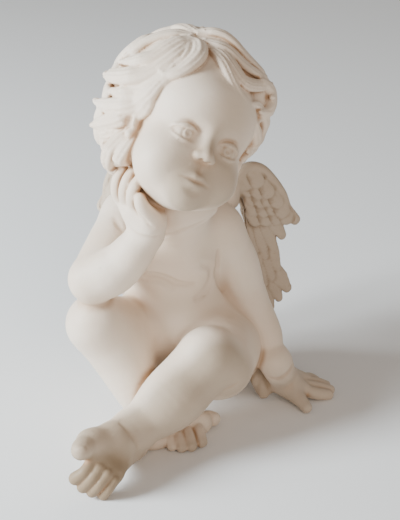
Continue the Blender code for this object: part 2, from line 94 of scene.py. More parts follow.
class Clay:
    """A grid of distances to the figure's surface, less than nought inside it."""

    def __init__(self, low, high, step):
        self.low = np.array(low, float)
        self.step = step
        self.count = np.ceil((np.array(high) - self.low) / step).astype(int) + 1
        self.field = np.full(self.count, EMPTY, np.float32)
        self.axes = [(self.low[i] + step * np.arange(self.count[i])).astype(np.float32)
                     for i in range(3)]

    def near(self, low, high, margin):
        """The part of the grid round a box, and its points."""
        first = np.floor((low - margin - self.low) / self.step).astype(int)
        last = np.ceil((high + margin - self.low) / self.step).astype(int) + 1
        first, last = np.clip(first, 0, self.count), np.clip(last, 0, self.count)
        where = tuple(slice(a, b) for a, b in zip(first, last))
        points = [self.axes[i][where[i]].reshape([-1 if j == i else 1 for j in range(3)])
                  for i in range(3)]
        return where, points

    def add(self, form, soft=4.0):
        shape, low, high = form
        where, points = self.near(low, high, soft + 3 * self.step)
        self.field[where] = blend(self.field[where], shape(points), soft)

    def cut(self, form, soft):
        shape, low, high = form
        where, points = self.near(low, high, soft + 3 * self.step)
        self.field[where] = -blend(-self.field[where], shape(points), soft)

    def at(self, points):
        """Distances at any points, eased between the grid's."""
        place = (np.asarray(points, float) - self.low) / self.step
        place = np.clip(place, 0, self.count - 1.001)
        cell = place.astype(int)
        share = place - cell
        total = np.zeros(len(place))
        for dx in (0, 1):
            for dy in (0, 1):
                for dz in (0, 1):
                    weight = (np.abs(1 - dx - share[:, 0]) * np.abs(1 - dy - share[:, 1])
                              * np.abs(1 - dz - share[:, 2]))
                    total += weight * self.field[cell[:, 0] + dx, cell[:, 1] + dy, cell[:, 2] + dz]
        return total

    def outward(self, points, reach=1.2):
        """Unit directions away from the clay at any points."""
        slope = np.zeros((len(points), 3))
        for axis in range(3):
            step = np.zeros(3)
            step[axis] = reach
            slope[:, axis] = self.at(points + step) - self.at(points - step)
        return slope / np.maximum(np.linalg.norm(slope, axis=1), 1e-6)[:, None]

    def onto(self, points, depth=0.0):
        """Points moved onto the surface, or that deep under it."""
        points = np.array(points, float)
        for _ in range(8):
            points -= self.outward(points) * (self.at(points) + depth)[:, None]
        return points


def tube(points, radii):
    """A round-ended limb through points, with a radius at each."""
    points, radii = np.array(points, float), np.array(radii, float)

    def shape(p):
        nearest = None
        for a, b, ra, rb in zip(points, points[1:], radii, radii[1:]):
            way = b - a
            off = [p[j] - np.float32(a[j]) for j in range(3)]
            share = sum(off[j] * np.float32(way[j]) for j in range(3)) / np.float32(way @ way)
            share = np.clip(share, 0, 1)
            far = np.sqrt(sum((off[j] - share * np.float32(way[j])) ** 2 for j in range(3)))
            far -= np.float32(ra) + share * np.float32(rb - ra)
            nearest = far if nearest is None else np.minimum(nearest, far)
        return nearest

    return shape, points.min(0) - radii.max(), points.max(0) + radii.max()


def run(points, radii, between=5):
    """Stations on a smooth curve through the points, each with its eased radius."""
    rows = np.column_stack([np.array(points, float), np.array(radii, float)])
    rows = np.vstack([2 * rows[0] - rows[1], rows, 2 * rows[-1] - rows[-2]])
    out = []
    for a, b, c, d in zip(rows, rows[1:], rows[2:], rows[3:]):
        for s in np.arange(between) / between:
            out.append(0.5 * (2 * b + (c - a) * s + (2 * a - 5 * b + 4 * c - d) * s * s
                              + (3 * b - a - 3 * c + d) * s ** 3))
    out = np.array(out + [rows[-2]])
    return out[:, :3], np.maximum(out[:, 3], 0.1)


def limb(clay, points, radii, soft, between=5):
    clay.add(tube(*run(points, radii, between)), soft)


def crease(clay, points, radius, depth, soft):
    """A groove pressed into the surface along points that are moved onto it."""
    points, radii = run(points, [radius * 0.5] + [radius] * (len(points) - 2) + [radius * 0.5], 4)
    clay.cut(tube(clay.onto(points, depth - radius), radii), soft)


def ball(centre, radii, axes=None):
    """An ellipsoid; the columns of axes are its directions."""
    centre = np.array(centre, float)
    radii = np.array(radii, float) * np.ones(3)
    turn = np.eye(3) if axes is None else axes

    def shape(p):
        off = [p[j] - np.float32(centre[j]) for j in range(3)]
        own = [sum(off[j] * np.float32(turn[j, k]) for j in range(3)) for k in range(3)]
        first = np.sqrt(sum((own[k] / np.float32(radii[k])) ** 2 for k in range(3)))
        second = np.sqrt(sum((own[k] / np.float32(radii[k] ** 2)) ** 2 for k in range(3)))
        return first * (first - 1) / np.maximum(second, 1e-6)

    reach = np.sqrt(((turn * radii) ** 2).sum(1))
    return shape, centre - reach, centre + reach


def both(form, other):
    """The part of one form that is inside the other too."""
    def shape(p):
        return np.maximum(form[0](p), other[0](p))
    return shape, form[1], form[2]


def side_of(point, normal):
    """Everything behind a plane."""
    def shape(p):
        return sum((p[j] - np.float32(point[j])) * np.float32(normal[j]) for j in range(3))
    return shape, None, None


# Body

def torso(clay):
    """Seat, belly, chest, back, shoulders, breasts and neck."""
    clay.add(ball(PELVIS, (45, 41, 46.5)))
    clay.add(ball(BELLY, (42, 36, 37)), 16)
    clay.add(ball((-43, -16, 79), (18, 20, 20)), 14)
    clay.add(ball(CHEST, (36, 29, 33)), 18)
    clay.add(ball((-22, -4, 124), (37, 21, 32)), 12)
    limb(clay, [(-46, -9, 148), NECK + vec(0, 6, 3), (-2, -8, 141.5)], [19, 20, 17.5], 12)
    limb(clay, [R_SHOULDER, (-24.5, -16, 133.5), L_SHOULDER], [18, 24, 17.5], 18)
    clay.add(ball((-14, -37.5, 124), (16.5, 12, 13)), 7)
    clay.add(ball((-39.5, -39, 131), (15, 10, 12)), 10)
    limb(clay, [NECK - vec(0, -3, 8), NECK, JAW, JAW + vec(3, 2, 12)], [28, 25, 25.5, 28], 8)
    limb(clay, [(-31, -48, 157), (-24, -52, 161.5), (-13, -54.5, 166.5), (-4, -50.5, 169),
                (3, -43, 169)], [5, 6.2, 6.4, 5.6, 4], 5)


def arms(clay):
    limb(clay, [R_SHOULDER, (-68, -36.5, 139), R_ELBOW], [19, 18.5, 17], 8)
    limb(clay, [R_ELBOW, (-68, -70, 132.5), (-59, -72, 140), (-49.5, -74, 152), R_WRIST],
         [17.2, 17.4, 15.8, 14, 10.8], 3)
    limb(clay, [L_SHOULDER, (21, -8, 111), L_ELBOW], [18.5, 18, 15.6], 7)
    limb(clay, [L_ELBOW, (38.5, -11, 65), (45, -16, 54), (48.5, -21, 44.5), (53, -26, 36),
                L_WRIST], [15.6, 14.8, 13, 10.8, 11.8, 10.8], 3)


def legs(clay):
    limb(clay, [R_HIP, (-54.5, -34, 62), R_KNEE], [33, 29, 21], 6)
    limb(clay, [R_KNEE, (-63, -60, 62.5), (-51.5, -69, 37), R_ANKLE], [21, 22.5, 16.5, 12.5], 6)
    limb(clay, [L_HIP, (7.5, -39, 53), (7.5, -62, 54.5)], [33, 31, 27], 6)
    clay.add(ball(L_KNEE, 22.5), 6)
    limb(clay, [L_KNEE, (-13, -83, 52.5), (-25.5, -94, 43.5), (-40.5, -104, 34.5), L_ANKLE],
         [22.2, 22.6, 22.6, 17.2, 14.2], 3.5)


def right_foot(clay):
    heel = vec(-49.5, -66, 11)
    inner, outer = vec(-5, -68, 7.2), vec(-28, -83, 6.6)
    limb(clay, [R_ANKLE, heel], [12.5, 12], 6)
    limb(clay, [R_ANKLE, (-24, -71, 16.5), inner], [12.5, 10.5, 7.6], 6)
    limb(clay, [heel, (-38, -74.5, 12.5), outer], [11.5, 9.5, 7], 8)
    limb(clay, [outer, (-36.5, -91, 7), (-46, -93, 9)], [7, 7.2, 8], 6)
    limb(clay, [inner, outer], [7.6, 6.8], 6)
    limb(clay, [(-3.5, -66.5, 8.5), (1, -61.5, 8), (5, -62.5, 7)], [6.2, 5, 5.4], 1.2)
    toes = [((-8.5, -71), (-5.6, -82), (-4, -89), 4.5),
            ((-16, -75.5), (-13, -88), (-11.2, -94.5), 4.4),
            ((-23, -79), (-20.5, -90), (-18.3, -96), 4.2),
            ((-29.5, -82), (-27.5, -90.5), (-25.3, -94.5), 4)]
    for root, bend, tip, radius in toes:
        limb(clay, [(*root, 8.5), (*bend, 8), (*tip, 4.2)],
             [radius, radius * 0.94, radius], 0.9)


def left_foot(clay):
    heel = vec(-54.5, -103.5, 12)
    inner, outer = vec(-79.5, -140, 35.5), vec(-66.5, -144.5, 15.5)
    limb(clay, [L_ANKLE, heel], [14.2, 11.6], 6)
    limb(clay, [L_ANKLE, (-67, -127.5, 32.5), inner], [14.2, 11.2, 9], 6)
    limb(clay, [heel, (-61, -125, 15), outer], [11.4, 10, 7.6], 6)
    limb(clay, [inner, outer], [9, 7.4], 8)
    clay.add(ball((-63.5, -129, 27), 12), 8)
    # big toe with the groove round its nail
    limb(clay, [(-80.5, -142, 36), (-83.5, -149, 38.5), (-85, -153.5, 39.5)],
         [8.2, 8, 6.8], 1.6)
    crease(clay, [(-88.3, -158, 43.5), (-84, -156.8, 47), (-79.6, -156.8, 44.5),
                  (-78.8, -159, 39.5), (-81.5, -162, 35.5)], 0.8, 0.55, 0.8)
    toes = [((-78.5, -147, 25.5), (-83.5, -152.5, 21.5), (-90, -151, 15), 4.6),
            ((-73, -150, 23), (-78.5, -154.5, 17.5), (-85, -152, 8.8), 4.3),
            ((-68, -152, 19.5), (-73.2, -155.5, 13.5), (-78.8, -153, 5.6), 4.1),
            ((-63.5, -152, 14.5), (-67.3, -155, 9.3), (-71.3, -153, 3), 3.9)]
    for root, bend, tip, radius in toes:
        limb(clay, [root, bend, tip], [radius * 1.04, radius * 0.9, radius * 1.02], 0.8)


def left_hand(clay):
    clay.add(ball((51.5, -27, 37), (12.6, 12, 11)), 4)
    limb(clay, [L_WRIST, (58.5, -20, 16.5), (68, -22.5, 11.5), (75, -22.5, 9)],
         [9.6, 10, 7.8, 5.8], 2)
    limb(clay, [L_WRIST, (66, -14.5, 15), (77.5, -8.5, 9)], [9.2, 8.2, 5.6], 6)
    limb(clay, [(57.5, -18.5, 12), (67, -28, 8.5), (73, -36, 6), (76.5, -42, 4.2)],
         [7.8, 6.6, 5.2, 4.2], 5)
    fingers = [((74.5, -22), (85, -24), (95, -21), 4.8), ((77, -16), (88, -15), (97, -13.5), 4.5),
               ((77.5, -10), (86.5, -7), (94.5, -6.5), 4.2), ((76.5, -5), (82, 0), (87, 1.5), 4.0)]
    for knuckle, bend, tip, radius in fingers:
        limb(clay, [(*knuckle, 8.5), (*bend, 6), (*tip, 3)],
             [radius * 1.04, radius, radius * 0.88], 1.0)


def right_hand(clay):
    heel = vec(-39, -77.5, 173)
    limb(clay, [R_WRIST, heel], [11.2, 10.6], 2)
    limb(clay, [heel, (-43, -75, 177), (-50, -70, 180.5), (-54.5, -66, 182)],
         [10.4, 10, 8.6, 7], 5)
    limb(clay, [R_WRIST, (-48.5, -73, 178)], [10.6, 8.8], 6)
    limb(clay, [(-38, -73, 178), (-42, -71, 187), (-45, -69, 194)], [9.5, 8.5, 6], 3)
    fingers = [((-56, -63, 180), (-61.5, -65.5, 190), (-61, -66, 200), (-57, -63, 206.5)),
               ((-52, -69, 181), (-56, -72.5, 191), (-54.5, -73, 201), (-50.6, -70, 207.6)),
               ((-47.8, -75, 182), (-50.6, -79, 191), (-49, -79, 199.5), (-45.3, -76, 205))]
    for finger in fingers:
        limb(clay, finger, [5, 4.5, 4.2, 3.7], 0.9)
    limb(clay, [(-37, -81, 177.5), (-41, -85, 184.5), (-44.2, -86, 190), (-45.2, -85, 194)],
         [7, 5.6, 4.8, 4.1], 1.2)


def folds(clay):
    """Soft folds of skin, each along places near the surface: radius, depth and softness."""
    for points, radius, depth, soft in (
            # under the breasts, and the armpit
            (((-50, -38, 119), (-42, -43, 121), (-32, -47, 118), (-21, -50, 112), (-10, -48, 111)),
             2.0, 1.4, 3),
            (((-46, -40, 112), (-37.6, -45, 114), (-30.4, -47, 112), (-25, -47.6, 108)),
             1.8, 0.8, 3),
            (((-3, -46, 127), (3, -42, 122), (5, -40, 112), (1, -43, 104), (-7, -45, 99)),
             2.0, 0.9, 4),
            (((6, -31, 132), (6.5, -33.5, 123), (7, -34, 114), (10, -32, 106), (15, -29, 97)),
             1.8, 1.5, 2.5),
            (((-66, -37, 159), (-63.5, -42, 156), (-61, -45, 153.7)), 1.8, 1.2, 2.5),
            # neck, wrists, palm
            (((-31, -54, 152), (-23, -58, 156), (-12, -60, 161), (0, -56, 164)), 1.6, 1.2, 2.5),
            (((-52, -82, 171), (-45, -86, 168), (-36, -88, 166.5), (-29, -84, 167)), 1.0, 0.7, 1.2),
            (((-49, -88, 190), (-47.5, -90.5, 184), (-42, -91, 178.5), (-36, -90, 174.5)),
             0.9, 0.8, 1.0),
            (((47.5, -38.7, 29), (55, -41, 29.5), (61, -39, 33), (64, -32, 36)), 1.3, 1.2, 1.5),
            # ankle and the back of the knee
            (((-60, -125.7, 42.6), (-55, -129, 35), (-50, -125, 27)), 1.2, 0.45, 2.5),
            (((12, -88, 48.7), (18, -86, 49.3), (22.3, -84, 51.4)), 1.3, 1.0, 1.8)):
        crease(clay, points, radius, depth, soft)


# Head: it looks to the figure's left, up a little, with the crown tipped to that side

def head_axes():
    """Columns: the head's left, its forward and its up."""
    yaw, pitch, roll = math.radians(25), math.radians(17), math.radians(31)
    level = vec(math.cos(yaw), math.sin(yaw), 0)
    forward = vec(math.sin(yaw) * math.cos(pitch), -math.cos(yaw) * math.cos(pitch),
                  math.sin(pitch))
    upright = np.cross(forward, level)
    up = upright * math.cos(roll) + level * math.sin(roll)
    left = level * math.cos(roll) - upright * math.sin(roll)
    return np.column_stack([left, forward, up])


HEAD = vec(-12.5, -50, 228)
AXES = head_axes()


def on_head(*place):
    """A point of the head in its own millimetres: left, forward, up."""
    return HEAD + AXES @ np.array(place, float)


def head_ball(*numbers):
    return ball(on_head(*numbers[:3]), numbers[3:], AXES)


def face(clay):
    """Skull, jaw, brow, cheeks and chin, then the features."""
    clay.add(head_ball(0, -8, 10, 40, 44, 40), 6)
    clay.add(head_ball(0, 9, -16, 35, 31.5, 38), 8)
    clay.add(head_ball(0, 14, 16, 36, 29.5, 27), 12)
    for side in (-1, 1):
        clay.add(head_ball(side * 19, 20, -27, 17, 17, 17), 12)
    clay.add(head_ball(0, 30, -43, 13, 11, 10.5), 10)
    clay.add(head_ball(0, 32, -33, 13, 9, 10), 7)
    for side in (-1, 1):
        eye(clay, side)
    nose(clay)
    lips(clay)


def eye(clay, side):
    """A hollow, a ball in it with a drilled pupil, two lids and the fold over the upper one."""
    middle = vec(side * 15.5, 28.6, -6.5)
    clay.cut(head_ball(side * 16, 45.8, -5.5, 13, 10, 8.5), 6)
    clay.add(ball(on_head(*middle), (9.4, 9.4, 9.0), AXES), 0.5)
    around = np.linspace(0, 2 * np.pi, 15)
    ring = [on_head(*(middle + vec(4.1 * math.cos(t), 8.5, 4.1 * math.sin(t)))) for t in around]
    clay.cut(tube(ring, [0.65] * len(ring)), 0.5)
    clay.cut(ball(on_head(*(middle + vec(0, 9.6, 0.2))), (1.9, 1.4, 1.9), AXES), 0.6)
    for tilt, sign, reach in ((21, 1, 11.3), (-24, -1, 10.7)):
        angle = math.radians(tilt)
        plane = side_of(on_head(*middle), AXES @ (sign * vec(0, math.sin(angle), -math.cos(angle))))
        clay.add(both(ball(on_head(*middle), (reach, reach, reach - 0.4), AXES), plane), 0.9)
    fold = [on_head(*(middle + vec(x, 11.2 * math.cos(rise) - 0.035 * x * x, 11.2 * math.sin(rise)
                                   - 0.02 * x * x)))
            for x, rise in ((-9, 0.62), (-5, 0.72), (0, 0.76), (5, 0.72), (9, 0.60))]
    clay.cut(tube(clay.onto(run(fold, [1] * 5)[0], -0.3), [0.9] * 21), 1.4)


def nose(clay):
    limb(clay, [on_head(0, 37, 3), on_head(0, 38.6, -5), on_head(0, 42, -12.5)], [4.2, 3.4, 3.9], 5)
    clay.add(head_ball(0, 44.6, -15.8, 4.5, 4.3, 4.0), 3)
    for side in (-1, 1):
        clay.add(head_ball(side * 4.7, 41.6, -17, 3.1, 3.7, 2.9), 1.8)
        clay.cut(head_ball(side * 2.6, 44, -19.6, 1.3, 1.8, 1.4), 0.8)


def lips(clay):
    """Closed lips with a soft line between them, and the groove down from the nose."""
    limb(clay, [on_head(*p) for p in ((-9.5, 35, -33.4), (-5.2, 39.4, -31.4), (-1.8, 41.2, -30.6),
                                      (0, 41, -31), (1.8, 41.2, -30.6), (5.2, 39.4, -31.4),
                                      (9.5, 35, -33.4))],
         [0.9, 2.0, 2.4, 2.2, 2.4, 2.0, 0.9], 1.6)
    limb(clay, [on_head(*p) for p in ((-7.8, 36.4, -34.8), (-3.6, 39.6, -36.2), (0, 40.5, -36.4),
                                      (3.6, 39.6, -36.2), (7.8, 36.4, -34.8))],
         [1.0, 2.5, 2.8, 2.5, 1.0], 1.6)
    crease(clay, [on_head(*p) for p in ((-9.8, 38, -33.9), (-5, 42, -33.4), (0, 43, -33.9),
                                        (5, 42, -33.4), (9.8, 38, -33.9))], 0.9, 0.8, 1.0)
    crease(clay, [on_head(0, 43, -22), on_head(0, 43, -25), on_head(0, 43, -28)], 1.5, 0.6, 1.5)
    crease(clay, [on_head(-5, 42, -40.2), on_head(0, 43, -41), on_head(5, 42, -40.2)], 2.2, 0.5, 3)


def ears(clay):
    """Small ears half under the hair: shell, rim, hollow and lobe."""
    for side in (-1, 1):
        clay.add(head_ball(side * 39.6, 1, -11, 3.6, 5, 7), 3)
        rim = [on_head(side * (41.8 + 0.6 * math.sin(t)), 1 - 4.6 * math.cos(t),
                       -10.4 + 6.6 * math.sin(t))
               for t in np.linspace(-1.9, 3.3, 9)]
        limb(clay, rim, [1.2, 1.4, 1.5, 1.6, 1.6, 1.6, 1.5, 1.4, 1.2], 1.2, 3)
        clay.cut(head_ball(side * 44, 2.2, -11, 2.6, 2.8, 4.4), 1.5)
        clay.add(head_ball(side * 41, 2.2, -17.6, 2.6, 3.2, 3.0), 2)


# Hair rides on a cap over the skull; a place on it is a longitude from the face, a latitude
# and a lift off the cap
CAP = vec(0, -12, 18)
CAP_RADII = vec(46, 48, 43)


def on_cap(longitude, latitude, lift=0.0):
    lon, lat = math.radians(longitude), math.radians(latitude)
    way = vec(math.sin(lon) * math.cos(lat), math.cos(lon) * math.cos(lat), math.sin(lat))
    return CAP + CAP_RADII * way + unit(way / CAP_RADII) * lift


def hair_bulk():
    """The masses that the locks lie on: cap, volume behind the hairline, and both sides."""
    forms = [(head_ball(*CAP, *CAP_RADII), 3), (head_ball(0, -24, 22, 53, 46, 49), 3),
             (head_ball(-36, -13, -27, 9, 15, 13), 5), (head_ball(36, -15, -20, 10, 15, 13), 5)]
    for places, radii in (
            ([(-95, 49, -3), (-106, 19, -5), (-110, -3, -2), (-114, -23, 2), (-116, -36, 11),
              (-118, -49, 16)], [9, 13, 13, 12, 8, 5]),
            ([(-70, 66, 0), (-40, 75, 1), (0, 75, 0), (36, 64, -4), (52, 44, -4), (58, 27, -4),
              (57, 8, -5), (60, -8, -4)], [7, 9, 10, 10, 12, 11, 7, 6]),
            ([(-80, 38, -4), (-82, 12, -4), (-86, -12, -2), (-92, -30, 2), (-101, -42, 8)],
             [11, 11, 10, 9, 7])):
        forms.append((tube(*run([on_head(*on_cap(*p)) for p in places], radii)), 6))
    return forms


def seat(points, out, forms):
    """How far along out each point has to go to stand on the outside of the forms."""
    furthest, lowest, step = 34, -8, 0.4
    steps = np.arange(furthest, lowest, -step)
    spots = points[:, None, :] + out[:, None, :] * steps[None, :, None]
    axes = [spots[:, :, j] for j in range(3)]
    far = np.min([form[0](axes) for form, _ in forms], axis=0)
    first = np.argmax(far < 0, axis=1)
    height = steps[first]
    padded = np.pad(height, 2, mode="edge")
    return (padded[:-4] + padded[1:-3] + padded[2:-2] + padded[3:-1] + padded[4:]) / 5


def lock(clay, forms, places, width, strands, lift, rise, thick=3.8, depth=1.0):
    """A lock of hair: a flat roll that closes to a tip, with grooves between its strands.

    places are longitudes and latitudes on the cap; the lock lies on the forms under it, lifted
    off them all along and rising further towards its tip.
    """
    points, marks = run([on_cap(*p) for p in places], range(len(places)), 4)
    share = np.clip(marks / marks[-1], 0, 1)
    out = (points - CAP) / CAP_RADII ** 2
    out = (out / np.linalg.norm(out, axis=1)[:, None]) @ AXES.T
    points = points @ AXES.T + HEAD
    points = points + out * (seat(points, out, forms) + lift + rise * share ** 2)[:, None]
    along = np.gradient(points, axis=0)
    side = np.cross(along, out)
    side = side / np.linalg.norm(side, axis=1)[:, None]
    full = np.clip(0.55 + 2.2 * share, 0, 1) * np.clip(1 - share ** 3, 0.12, 1) ** 0.6
    wide, deep = width * 0.5 * full, thick * (0.45 + 0.55 * full)

    def shape(p):
        nearest = result = None
        for i in range(len(points) - 1):
            way = points[i + 1] - points[i]
            off = [p[j] - np.float32(points[i, j]) for j in range(3)]
            t = sum(off[j] * np.float32(way[j]) for j in range(3)) / np.float32(way @ way)
            t = np.clip(t, 0, 1)
            off = [off[j] - t * np.float32(way[j]) for j in range(3)]
            far = off[0] ** 2 + off[1] ** 2 + off[2] ** 2
            a = sum(off[j] * (np.float32(side[i, j]) + t * np.float32(side[i + 1, j] - side[i, j]))
                    for j in range(3))
            w = np.float32(wide[i]) + t * np.float32(wide[i + 1] - wide[i])
            h = np.float32(deep[i]) + t * np.float32(deep[i + 1] - deep[i])
            rest = np.maximum(far - a * a, 0)
            first = np.sqrt((a / w) ** 2 + rest / h ** 2)
            second = np.sqrt((a / w ** 2) ** 2 + rest / h ** 4)
            form = first * (first - 1) / np.maximum(second, 1e-6)
            strand = (np.clip(a / w, -1, 1) + 1) * (0.5 * strands)
            groove = np.float32(depth * min(1.0, wide[i] / 3))
            form = form + groove * (1 - np.abs(np.sin(np.pi * strand)))
            if nearest is None:
                nearest, result = far, form
            else:
                result = np.where(far < nearest, form, result)
                nearest = np.minimum(far, nearest)
        return result.astype(np.float32)

    reach = max(wide.max(), deep.max()) + 0.5
    clay.add((shape, points.min(0) - reach, points.max(0) + reach), 0.6)


def hair(clay):
    forms = hair_bulk()
    for form, soft in forms:
        clay.add(form, soft)
    # flat locks all over, close to the masses
    for k in range(16):
        start = -96 - 204 * k / 15
        bend = 9 if k % 2 else -9
        places = [(start + bend * math.sin(s * 5), 74 - 118 * s)
                  for s in (0, 0.15, 0.3, 0.45, 0.6, 0.75, 0.9, 1)]
        lock(clay, forms, places, 21, 4, -1.0, 0.0, 2.6, 0.6)
    # each lock's places, then width, strands, lift, rise and, where they aren't the usual ones,
    # thickness and depth of the grooves
    for places, *sizes in (
            # waves on the figure's right, combed back from the parting
            ([(-68, 61), (-84, 55), (-91, 45), (-95, 35), (-97, 24), (-99, 15)],
             17, 4, 0.6, 2.5, 4.4, 0.8),
            ([(-64, 57), (-68, 46), (-69, 31), (-72, 19), (-81, 12), (-99, 10)],
             17, 4, 1.2, 3.5, 4.6, 0.8),
            ([(-59, 53), (-58, 34), (-63, 17), (-72, 4), (-84, -1), (-108, 0), (-109, 0)],
             17, 4, 2.0, 4.5, 5.0, 0.8),
            ([(-50, 27), (-53, 10), (-61, -2), (-74, -9), (-84, -13), (-105, -10)],
             16, 4, 1.2, 2.5, 4.6, 0.8),
            ([(-52, 7), (-60, -8), (-69, -17), (-79, -22), (-102, -21), (-113, -17)],
             16, 4, 2.4, 5, 5.0, 0.8),
            ([(-57, -6), (-63, -20), (-78, -28), (-84, -31), (-106, -32), (-115, -31)],
             16, 4, 1.6, 4.5, 5.0, 0.8),
            ([(-67, -25), (-83, -38), (-90, -40), (-109, -39), (-115, -34)], 14, 4, 1.8, 1),
            ([(-97, -38), (-110, -41), (-112, -49), (-120, -55), (-134, -53)], 10, 3, 2.2, 1),
            ([(-111, -39), (-112, -45), (-114, -53), (-122, -60)], 7.5, 3, 1.4, 0.5),
            ([(-74, -34), (-84, -44), (-93, -53), (-104, -58), (-116, -60)],
             13, 3, 1.6, 2, 4.4, 0.8),
            ([(-70, -42), (-77, -54), (-86, -64), (-100, -70)], 11, 3, 1.4, 1.5, 4.2, 0.8),
            # forelock with its hooked tip, and the lock behind it
            ([(-61, 55), (-46, 55), (-35, 40), (-37, 25), (-43, 14), (-51, 9), (-57, 11)],
             12.5, 3, 2.2, 1.5, 4.4, 0.8),
            ([(-62, 54), (-50, 44), (-46, 30), (-50, 15)], 13, 3, 1.0, 0, 4.4, 0.8),
            # waves on the figure's left
            ([(-67, 66), (-54, 73), (-20, 76), (16, 73), (38, 63), (48, 51), (48, 42)],
             16, 5, 1.0, 1.5),
            ([(-44, 64), (-20, 65), (4, 63), (24, 55), (36, 46), (53, 41)], 14, 4, 1.4, 1),
            ([(-33, 61), (-9, 56), (4, 42), (16, 32), (39, 35), (55, 38)], 14, 5, 1.8, 2.5),
            ([(-24, 55), (-8, 42), (2, 28), (13, 18), (27, 14)], 10, 3, 1.4, 0.5),
            ([(41, 38), (56, 34), (58, 26), (52, 17), (41, 14)], 12, 3, 2.2, 2, 4.6, 0.8),
            ([(28, 16), (41, 19), (50, 14), (43, 4)], 7, 2, 2.0, 0.5),
            ([(46, 16), (60, 9), (63, -1), (56, -11)], 12, 3, 2.4, 2, 4.8, 0.8),
            ([(40, 3), (54, -5), (66, -14), (60, -26)], 11, 3, 2.2, 2, 4.6, 0.8),
            # the knot on the crown
            ([(-77, 62), (-109, 71), (-111, 76), (-55, 68)], 6.5, 2, 1.4, 1)):
        lock(clay, forms, places, *sizes)
    # the spiral curl beside the jaw
    middle = on_head(*on_cap(-120, -58, 21))
    clay.add(ball(middle - vec(0, -5, 0), (7.5, 7, 9)), 2)
    turn = [middle + vec(-1.05 * r * math.sin(t), 3.2 - 0.55 * t, 1.35 * r * math.cos(t))
            for r, t in zip(np.linspace(7.0, 1.6, 15), np.linspace(-1.2, 8.6, 15))]
    limb(clay, turn, np.linspace(3.1, 1.9, 15), 0.6, 2)
    limb(clay, [on_head(*on_cap(-116, -40, 14)), on_head(*on_cap(-117, -46, 16)), turn[0]],
         [4.5, 4, 3.2], 1.2)
    # short waved locks in rows round the back
    for row, (latitude, count, drop) in enumerate(
            [(64, 6, 36), (40, 8, 36), (16, 9, 34), (-6, 9, 32), (-26, 8, 28)]):
        for k in range(count):
            start = 68 + (k + 0.5 * (row % 2)) * 190 / count
            places = [(start + 11 * math.sin(s * 4) - 8 * s, latitude - drop * s)
                      for s in (0, 0.25, 0.5, 0.75, 1)]
            lock(clay, forms, places, 17, 4, 0.8 + 0.2 * row, 3, 4.4, 0.8)
    # locks from the parting over the crown to the back
    for places in ([(-72, 66), (-104, 66), (-130, 56), (-146, 40)],
                   [(-70, 74), (-130, 78), (-175, 66), (-188, 46)],
                   [(-40, 80), (60, 82), (130, 66), (138, 46)]):
        lock(clay, forms, places, 16, 4, 1.6, 2, 4.4, 0.8)


# Wings

class Wing:
    """A wing's plane: outward along the back, up along its height, and towards the front."""

    def __init__(self, side, root, sweep, lean, tilt):
        self.root = np.array(root, float)
        self.out = vec(side * math.cos(sweep), math.sin(sweep), 0)
        rise = unit(vec(lean, tilt, 1))
        self.up = unit(rise - self.out * (rise @ self.out))
        self.front = np.cross(self.out, self.up) * side

    def at(self, out, up, front=0.0):
        return self.root + self.out * out + self.up * up + self.front * front


WINGS = (Wing(1, (6, 12, 130), math.radians(24), 0, 0.14),
         Wing(-1, (-40, 12, 130), math.radians(52), -0.12, 0.10))
MIDDLE = -1.5                 # how far towards the front the middle of a wing's thickness is


def feather(clay, wing, path, widths, levels, half_thick, swell, soft, barbs=0.0, groove=0.0,
            hollow=False):
    """A flat blade in the wing's plane, round at its ends, with a rib and slanted barbs.

    A blade wider by groove is cut away first, so that a groove is left round the feather.
    """
    if groove:
        face = 1 if levels[1] > MIDDLE else -1
        feather(clay, wing, path, [w + groove for w in widths],
                [level + face * (half_thick + 0.6) for level in levels], half_thick + 0.4, 0.0, 0.3,
                hollow=True)
    path, widths = np.array(path, float), np.array(widths, float)
    lengths = np.linalg.norm(np.diff(path, axis=0), axis=1)
    marks = np.concatenate([[0], np.cumsum(lengths)])
    edge = half_thick * 0.9

    def shape(p):
        off = [p[j] - np.float32(wing.root[j]) for j in range(3)]
        out, up, front = [sum(off[j] * np.float32(way[j]) for j in range(3))
                          for way in (wing.out, wing.up, wing.front)]
        rim = along = aside = None
        for i in range(len(path) - 1):
            a, way = path[i], path[i + 1] - path[i]
            share = ((out - a[0]) * way[0] + (up - a[1]) * way[1]) / (way @ way)
            share = np.clip(share, 0, 1)
            off_line = np.sqrt((out - a[0] - share * way[0]) ** 2
                               + (up - a[1] - share * way[1]) ** 2)
            far = off_line - (widths[i] + share * (widths[i + 1] - widths[i]))
            here = marks[i] + share * lengths[i]
            if rim is None:
                rim, along, aside = far, here, off_line
            else:
                nearer = far < rim
                rim = np.where(nearer, far, rim)
                along = np.where(nearer, here, along)
                aside = np.where(nearer, off_line, aside)
        level = levels[0] + (levels[1] - levels[0]) * along / marks[-1]
        thick = half_thick + swell * np.clip(-rim / widths.max(), 0, 1)
        if barbs:
            rib = np.exp(-(aside / 0.7) ** 2)
            thick = thick + barbs * (1.3 * rib + np.sin((along + aside * 0.9) * 2.6) * (1 - rib))
        x, y = rim + edge, np.abs(front - level) - thick + edge
        far = np.sqrt(np.maximum(x, 0) ** 2 + np.maximum(y, 0) ** 2)
        return (far + np.minimum(np.maximum(x, y), 0) - edge).astype(np.float32)

    ends = np.array([wing.at(*spot, level) for spot, level in
                     zip(path, np.linspace(levels[0], levels[1], len(path)))])
    reach = widths.max() + half_thick + swell
    if hollow:
        clay.cut((shape, ends.min(0) - reach, ends.max(0) + reach), soft)
    else:
        clay.add((shape, ends.min(0) - reach, ends.max(0) + reach), soft)


